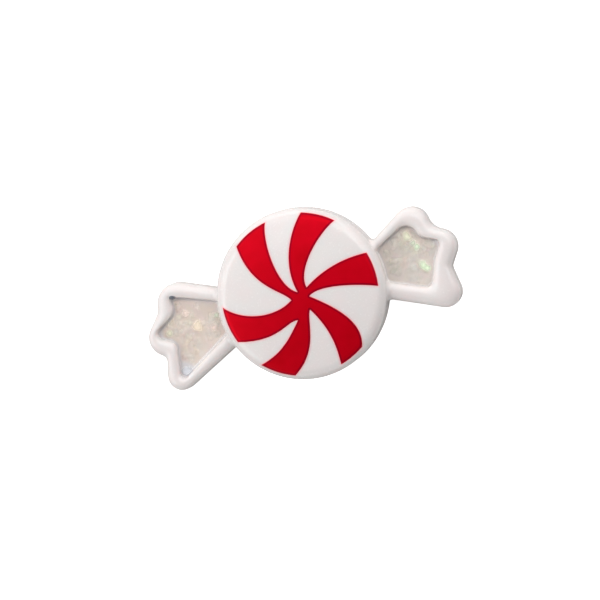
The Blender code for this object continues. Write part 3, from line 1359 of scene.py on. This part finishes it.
@dataclass
class Glitter:
    """Film flakes in the resin, a few with painted glints, and bubbles with painted shade and reflection."""

    fills: tuple[PocketFill, PocketFill]
    painted_glints: tuple[PaintedGlint, ...]
    bubbles: tuple[Bubble, ...]
    tints: tuple[Colour, ...]
    per_end: int = 80
    sizes: Span = (0.3, 0.85)
    levels: Span = (2.1, 2.3)
    cover_draw: Span = (0.3, 0.9)
    wall_clearance: float = 0.75
    glint_level: float = 2.35
    thickness: float = 0.03
    tilt: float = 0.04
    sides: int = 7
    corner_sway: float = 0.3
    corner_reach: Span = (0.6, 1.1)
    bubble_rings: int = 17
    bubble_spokes: int = 48
    bubble_fade: float = 1.1
    film: FilmFinish = FilmFinish("pale_film_finish", roughness=0.4, cover=0.22)
    glint: FilmFinish = FilmFinish("painted_glint_finish", roughness=0.25)
    bubble: FilmFinish = FilmFinish("bubble_painted_light_finish", cover=0.9)

    def flakes(
        self, name: str, spots: Array, sizes: Array, tints: Array, finish: FilmFinish, random: Draws
    ) -> Piece:
        """Cut flakes as thin lenses with uneven corners and a slight tilt, which fade out towards their rim.

        Args:
            name: name of the piece.
            spots: middles of the flakes.
            sizes: their radii.
            tints: their colours.
            finish: their finish.
            random: the source of the draws.

        Returns:
            All the flakes as one piece.
        """
        count = len(spots)
        sway = random.uniform(-self.corner_sway, self.corner_sway, (count, self.sides))
        turn = 2 * math.pi * (np.arange(self.sides) + sway) / self.sides
        turn += random.uniform(0, 2 * math.pi, (count, 1))
        radius = sizes[:, None] * random.uniform(*self.corner_reach, (count, self.sides))
        plane = headings(turn) * radius[..., None]
        slope = random.normal(0, self.tilt, (count, 1, 2))
        half = np.array([0, 0, self.thickness / 2])
        skin = Skin()
        rim = skin.add(spots[:, None] + with_height(plane, (plane * slope).sum(axis=-1)))
        ahead = np.roll(rim, -1, axis=1)
        for pole, ring, after in ((spots + half, rim, ahead), (spots - half, ahead, rim)):
            middle = np.broadcast_to(skin.add(pole)[:, None], rim.shape)
            skin.faces += np.stack([ring, after, middle], axis=-1).reshape(-1, 3).tolist()
        piece = skin.piece(name, finish.material())
        cover = np.repeat([0.0, 1.0], [count * self.sides, 2 * count])
        store_tints(piece, np.vstack([np.repeat(tints, self.sides, axis=0), tints, tints]), cover)
        return mounted(piece)

    def build_film(self, random: Draws) -> Piece:
        """Scatter pale flakes through the resin of both pockets.

        A flake's place is a drawn share of the way from the pocket's middle to a drawn point of its outline,
        and it is kept where a draw for its cover is less than the glitter's share there.

        Args:
            random: the source of the draws.

        Returns:
            The pale flakes.
        """
        spots = []
        for fill in self.fills:
            loop = fill.end.pocket_loop(-self.wall_clearance)
            pick = loop[random.integers(0, len(loop), self.per_end)]
            share = np.sqrt(random.uniform(0.0, 1.0, (self.per_end, 1)))
            plane = fill.end.middle + share * (pick - fill.end.middle)
            cover = fill.cover(plane, fill.end.pocket_loop(0.0))
            plane = plane[cover > random.uniform(*self.cover_draw, self.per_end)]
            spots.append(with_height(plane, random.uniform(*self.levels, len(plane))))
        places = np.vstack(spots)
        sizes = random.uniform(*self.sizes, len(places))
        tints = np.array(self.tints)[random.integers(0, len(self.tints), len(places))]
        return self.flakes("glitter_film", places, sizes, tints, self.film, random)

    def build_painted_glints(self, random: Draws) -> Piece:
        """Set the few flakes whose bright colours are painted glints, at the places where the charm glints.

        Args:
            random: the source of the draws.

        Returns:
            The flakes with the painted glints.
        """
        places = np.array([[flake.x, flake.y, self.glint_level] for flake in self.painted_glints])
        sizes = np.array([flake.size for flake in self.painted_glints])
        tints = np.array([flake.tint for flake in self.painted_glints])
        return self.flakes("glitter_painted_glints", places, sizes, tints, self.glint, random)

    def build_bubbles(self) -> Piece:
        """Blow the bubbles as ellipsoids over longitude and latitude, which fade out towards their equator.

        Returns:
            All the bubbles as one piece.
        """
        latitude = np.linspace(-math.pi / 2, math.pi / 2, self.bubble_rings)[1:-1, None]
        longitude = np.linspace(0, 2 * math.pi, self.bubble_spokes, endpoint=False)
        ball = with_height(np.cos(latitude)[..., None] * headings(longitude), np.sin(latitude))
        skin = Skin()
        for bubble in self.bubbles:
            middle, half = np.array(bubble.middle), np.array(bubble.half)
            rings = skin.add(middle + half * ball)
            skin.quads(rings, closed=True)
            skin.fan(rings[0], middle - half * [0, 0, 1])
            skin.fan(rings[-1], middle + half * [0, 0, 1])
        piece = skin.piece("resin_bubbles", self.bubble.material())
        cover = np.append(np.clip(ball[..., 2].ravel() * self.bubble_fade, 0, 1), [0, 1])
        # Each bubble's tint is painted light: painted shade on the dark ones, a painted reflection on the
        # pale one.
        tints = np.repeat([bubble.tint for bubble in self.bubbles], len(cover), axis=0)
        store_tints(piece, tints, np.tile(cover, len(self.bubbles)))
        return mounted(piece)


# ---- The studio ----


def placed(name: str, data: bpy.types.ID, turn: Array, place: Array) -> Piece:
    """Put a lamp or camera into the scene.

    Args:
        name: the object's name.
        data: the lamp or camera.
        turn: its axes as columns.
        place: its place in millimetres from the middle of the sweet.

    Returns:
        The object.
    """
    item = bpy.data.objects.new(name, data)
    matrix = np.eye(4)
    matrix[:3, :3] = turn
    matrix[:3, 3] = (place + SWEET_CENTRE) * MM
    item.matrix_world = Matrix(matrix.tolist())
    bpy.context.scene.collection.objects.link(item)
    return item


@dataclass(frozen=True)
class SoftBox:
    """A rectangular white lamp aimed at the charm, placed by its direction seen from there."""

    name: str
    heading: float
    zenith: float
    width: float
    height: float
    power: float
    distance: float = 300.0

    def build(self) -> Piece:
        """Hang the lamp.

        Returns:
            The lamp.
        """
        lamp = bpy.data.lights.new(self.name, "AREA")
        lamp.shape = "RECTANGLE"
        lamp.size, lamp.size_y = self.width * MM, self.height * MM
        lamp.energy = self.power
        heading, zenith = math.radians(self.heading), math.radians(self.zenith)
        towards = np.append(math.sin(zenith) * headings(heading), math.cos(zenith))
        side = np.array([-math.sin(heading), math.cos(heading), 0])
        turn = np.column_stack([side, np.cross(towards, side), towards])
        return placed(self.name, lamp, turn, towards * self.distance)


@dataclass(frozen=True)
class PhotoCamera:
    """The camera at the photograph's place: nearly overhead, rolled and a little to the right.

    The middle of the sweet's back lies at the given pixel of a square picture. Only clip, the range that
    the camera sees, is in metres.
    """

    roll: float = 18.2
    lean_x: float = 10.5
    lean_y: float = 1.6
    distance: float = 292.0
    pixel: float = 0.1169
    picture: int = 600
    middle: Spot = (306.04, 291.56)
    sensor: float = 36.0
    clip: Span = (0.01, 10.0)

    def build(self) -> Piece:
        """Aim the camera.

        Returns:
            The camera.
        """
        roll, lean_x, lean_y = (math.radians(angle) for angle in (self.roll, self.lean_x, self.lean_y))
        level = math.cos(lean_y)
        back = np.array([math.sin(lean_x) * level, math.sin(lean_y), math.cos(lean_x) * level])
        across = unit(np.array([1.0, 0.0, 0.0]) - back[0] * back)
        along = np.cross(back, across)
        right = math.cos(roll) * across - math.sin(roll) * along
        up = math.sin(roll) * across + math.cos(roll) * along
        shift = (np.array(self.middle) - self.picture / 2) * self.pixel
        place = shift[1] * up - shift[0] * right + self.distance * back
        camera = bpy.data.cameras.new("photo_camera")
        camera.sensor_width = self.sensor
        camera.lens = self.sensor * self.distance / (self.picture * self.pixel)
        camera.clip_start, camera.clip_end = self.clip
        item = placed("photo_camera", camera, np.column_stack([right, up, back]), place)
        bpy.context.scene.camera = item
        return item


@dataclass
class Studio:
    """Pale floor, soft lamps and the camera.

    Floor and air have two strengths of light: one for the rays that light the charm, and one for the
    camera's own, which shows them white.
    """

    lamps: tuple[SoftBox, ...]
    camera: PhotoCamera = PhotoCamera()
    floor_size: float = 3000.0
    floor_drop: float = 0.02
    floor_colour: Colour = (0.62, 0.61, 0.60)
    floor_roughness: float = 0.9
    white: Colour = (1.0, 1.0, 1.0)
    floor_light: Span = (0.0, 1.0)
    air_light: Span = (0.02, 1.0)
    clear_layers: int = 32

    def build(self) -> None:
        """Build the floor, the air round it, the lamps and the camera."""
        half = self.floor_size / 2
        spots = np.array([[-half, -half], [half, -half], [half, half], [-half, half]])
        skin = Skin()
        skin.cap(skin.add(with_height(spots, -self.floor_drop)))
        material, wiring, shader = blank_material("floor_finish")
        glow = wiring.stretch(wiring.ray("Is Camera Ray"), after=self.floor_light)
        colours = {"Base Color": self.floor_colour, "Emission Color": self.white}
        wiring.feed(shader, {**colours, "Roughness": self.floor_roughness, "Emission Strength": glow})
        skin.piece("pale_floor", material)
        scene = bpy.context.scene
        scene.world = bpy.data.worlds.new("studio_air")
        scene.world.use_nodes = True
        haze = Wiring(scene.world.node_tree)
        strength = haze.stretch(haze.ray("Is Camera Ray"), after=self.air_light)
        haze.feed(haze.tree.nodes["Background"], {"Color": self.white, "Strength": strength})
        scene.view_settings.view_transform = "Standard"
        scene.cycles.transparent_max_bounces = self.clear_layers
        for lamp in self.lamps:
            lamp.build()
        self.camera.build()


# ---- The charm ----

SWEET = RoundSweet()
RIM_FILLET = 0.7
POCKET_FILLET = 0.9
LEFT_RIM = (
    (-16.15, 6.9, 2.45), (-17.15, 3.15, 1.2), (-20.3, -0.25, 2.2), (-17.8, -2.2, 0.8), (-19.55, -7.85, 1.7)
)
LEFT_POCKET = (
    (-15.25, 4.55, 0.35), (-15.3, 2.45, 1.5), (-18.7, 0.65, 0.8), (-16.15, -0.95, 1.1), (-17.15, -5.65, 0.6)
)
RIGHT_RIM = (
    (16.25, 7.0, 2.1), (16.65, 2.55, 2.1), (19.85, 0.85, 2.05), (17.4, -2.45, 0.6), (18.0, -8.1, 1.8)
)
RIGHT_POCKET = (
    (14.35, 4.3, 1.45), (15.1, 2.0, 1.4), (17.25, 0.85, 0.55), (15.9, -1.1, 1.5), (14.55, -4.15, 0.9)
)
LEFT_END = WrapperEnd(
    side=Side.LEFT,
    rim=Outline(LEFT_RIM, aims=((-8.0, 3.0), (-8.0, -2.75)), outwards=True, fillet=RIM_FILLET),
    pocket=Outline(LEFT_POCKET, aims=((-8.0, 1.55), (-8.0, -0.75)), outwards=False, fillet=POCKET_FILLET),
    sweet=SWEET,
)
RIGHT_END = WrapperEnd(
    side=Side.RIGHT,
    rim=Outline(RIGHT_RIM, aims=((8.0, 2.3), (8.0, -3.1)), outwards=True, fillet=RIM_FILLET),
    pocket=Outline(RIGHT_POCKET, aims=((8.0, 1.25), (8.0, -0.95)), outwards=False, fillet=POCKET_FILLET),
    sweet=SWEET,
)
TIPS = (LEFT_END.outer[:, 0].min(), RIGHT_END.outer[:, 0].max())
# The frame's origin lies halfway between the tips, a little beside the middle of the sweet.
SWEET_CENTRE = np.array([-sum(TIPS) / 2, 0.0, 0.0])

VALLEYS = ((-1.06, -0.25), (-0.06, 0.44), (1.19, 0.63), (1.19, -0.49), (0.71, -2.03), (-1.10, -2.73))
BLADES = (
    Blade(9.27, (125, 97), ((-1.8, 1.2), (-5.1, 2.4)), ((-2.1, 1.8), (-2.1, 7.3))),
    Blade(9.50, (71, 46), ((-0.7, 3.6), (0.8, 6.8)), ((0.8, 2.8), (4.4, 6.0))),
    Blade(9.20, (14, -12), ((3.6, 2.0), (6.2, 2.5)), ((2.8, 0.5), (7.6, -1.2))),
    Blade(9.38, (-58, -78), ((3.3, -2.3), (6.3, -5.1)), ((2.0, -4.5), (2.3, -6.5))),
    Blade(9.46, (-112, -138), ((-0.1, -3.3), (0.2, -6.8)), ((-3.2, -4.9), (-4.4, -5.8))),
    Blade(9.24, (-161, -189), ((-2.5, -2.5), (-3.9, -4.5)), ((-3.1, -1.5), (-7.0, -1.1))),
)

LEFT_BARE = (BareSpot(-16.9, -5.3, 2.2), BareSpot(-18.3, 0.65, 0.9), BareSpot(-15.1, 4.4, 0.6))
RIGHT_BARE = (BareSpot(16.9, 0.9, 0.6),)
RIGHT_STRIP = (0.0, 0.3)
RIGHT_BED = GlitterBedFinish(
    warm=(0.78, 0.70, 0.635), pale=(0.82, 0.76, 0.715), cool=(0.72, 0.71, 0.685), rosy=(0.80, 0.68, 0.675)
)
FILM_TINTS = (
    (0.82, 0.74, 0.62), (0.86, 0.80, 0.72), (0.78, 0.77, 0.70), (0.84, 0.70, 0.66),
    (0.74, 0.74, 0.72), (0.88, 0.84, 0.80), (0.79, 0.80, 0.67),
)
# Painted highlight colours of the glinting flakes.
PALE_LIME = (0.93, 0.94, 0.76)
LEAF_GREEN = (0.85, 0.965, 0.77)
SOFT_GREEN = (0.80, 0.86, 0.72)
SOFT_LIME = (0.86, 0.84, 0.68)
STRAW = (1.0, 0.89, 0.74)
ROSE_WHITE = (0.96, 0.82, 0.76)
# Painted shade and painted reflection colours of the bubbles.
PAINTED_SHADE_SLATE = (0.13, 0.155, 0.19)
PAINTED_REFLECTION_ICE = (0.78, 0.80, 0.85)
PAINTED_SHADE_ICE = (0.60, 0.61, 0.66)
# Each glint is a painted highlight: a bright film colour at a fixed place.
PAINTED_GLINTS = (
    PaintedGlint(13.61, 2.44, 0.85, PALE_LIME),
    PaintedGlint(14.36, 1.02, 0.62, LEAF_GREEN),
    PaintedGlint(14.08, 1.48, 0.50, SOFT_GREEN),
    PaintedGlint(14.40, -1.31, 0.85, LEAF_GREEN),
    PaintedGlint(14.76, -1.71, 0.65, LEAF_GREEN),
    PaintedGlint(-13.11, 0.22, 0.85, STRAW),
    PaintedGlint(-13.95, 2.05, 0.60, ROSE_WHITE),
    PaintedGlint(-16.51, 0.40, 0.70, SOFT_LIME),
    PaintedGlint(-11.29, -0.56, 0.55, ROSE_WHITE),
    PaintedGlint(-10.54, 0.73, 0.55, SOFT_GREEN),
)
# The dark slate bubble is a painted shadow in the pocket's corner; the pale ice bubble is a painted
# reflection inside a ring of painted shade.
BUBBLES = (
    Bubble((-14.80, 4.52, 2.56), (0.52, 0.52, 0.38), PAINTED_SHADE_SLATE),
    Bubble((-15.92, -4.50, 2.34), (0.66, 0.60, 0.09), PAINTED_SHADE_ICE),
    Bubble((-16.05, -4.42, 2.37), (0.60, 0.56, 0.09), PAINTED_REFLECTION_ICE),
)
LAMPS = (
    SoftBox("key", heading=88, zenith=28, width=420, height=160, power=0.385),
    SoftBox("low_back", heading=83, zenith=74, width=600, height=140, power=0.56),
    SoftBox("left", heading=178, zenith=55, width=300, height=240, power=0.50),
    SoftBox("low_front", heading=255, zenith=74, width=450, height=140, power=0.26),
    SoftBox("right", heading=16, zenith=50, width=300, height=220, power=0.39),
)
SEED = 20


def main() -> None:
    """Build the charm and its studio, and report each piece."""
    logging.basicConfig(level=logging.INFO, format="%(name)s: %(message)s")
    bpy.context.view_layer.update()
    random = np.random.default_rng(SEED)
    swirl = Swirl(SWEET, VALLEYS, BLADES)
    pieces = [Casting(SWEET, (LEFT_END, RIGHT_END), swirl).build(), swirl.build()]
    fills = (
        PocketFill(LEFT_END, LEFT_BARE),
        PocketFill(RIGHT_END, RIGHT_BARE, bed=RIGHT_BED, bare_strip=RIGHT_STRIP),
    )
    for fill in fills:
        pieces += [fill.build_bed(random), fill.build_resin()]
    glitter = Glitter(fills, PAINTED_GLINTS, BUBBLES, FILM_TINTS)
    pieces += [glitter.build_film(random), glitter.build_painted_glints(random), glitter.build_bubbles()]
    Studio(LAMPS).build()
    for piece in pieces:
        LOG.info("%s: %d faces", piece.name, len(piece.data.polygons))


if __name__ == "__main__":
    main()
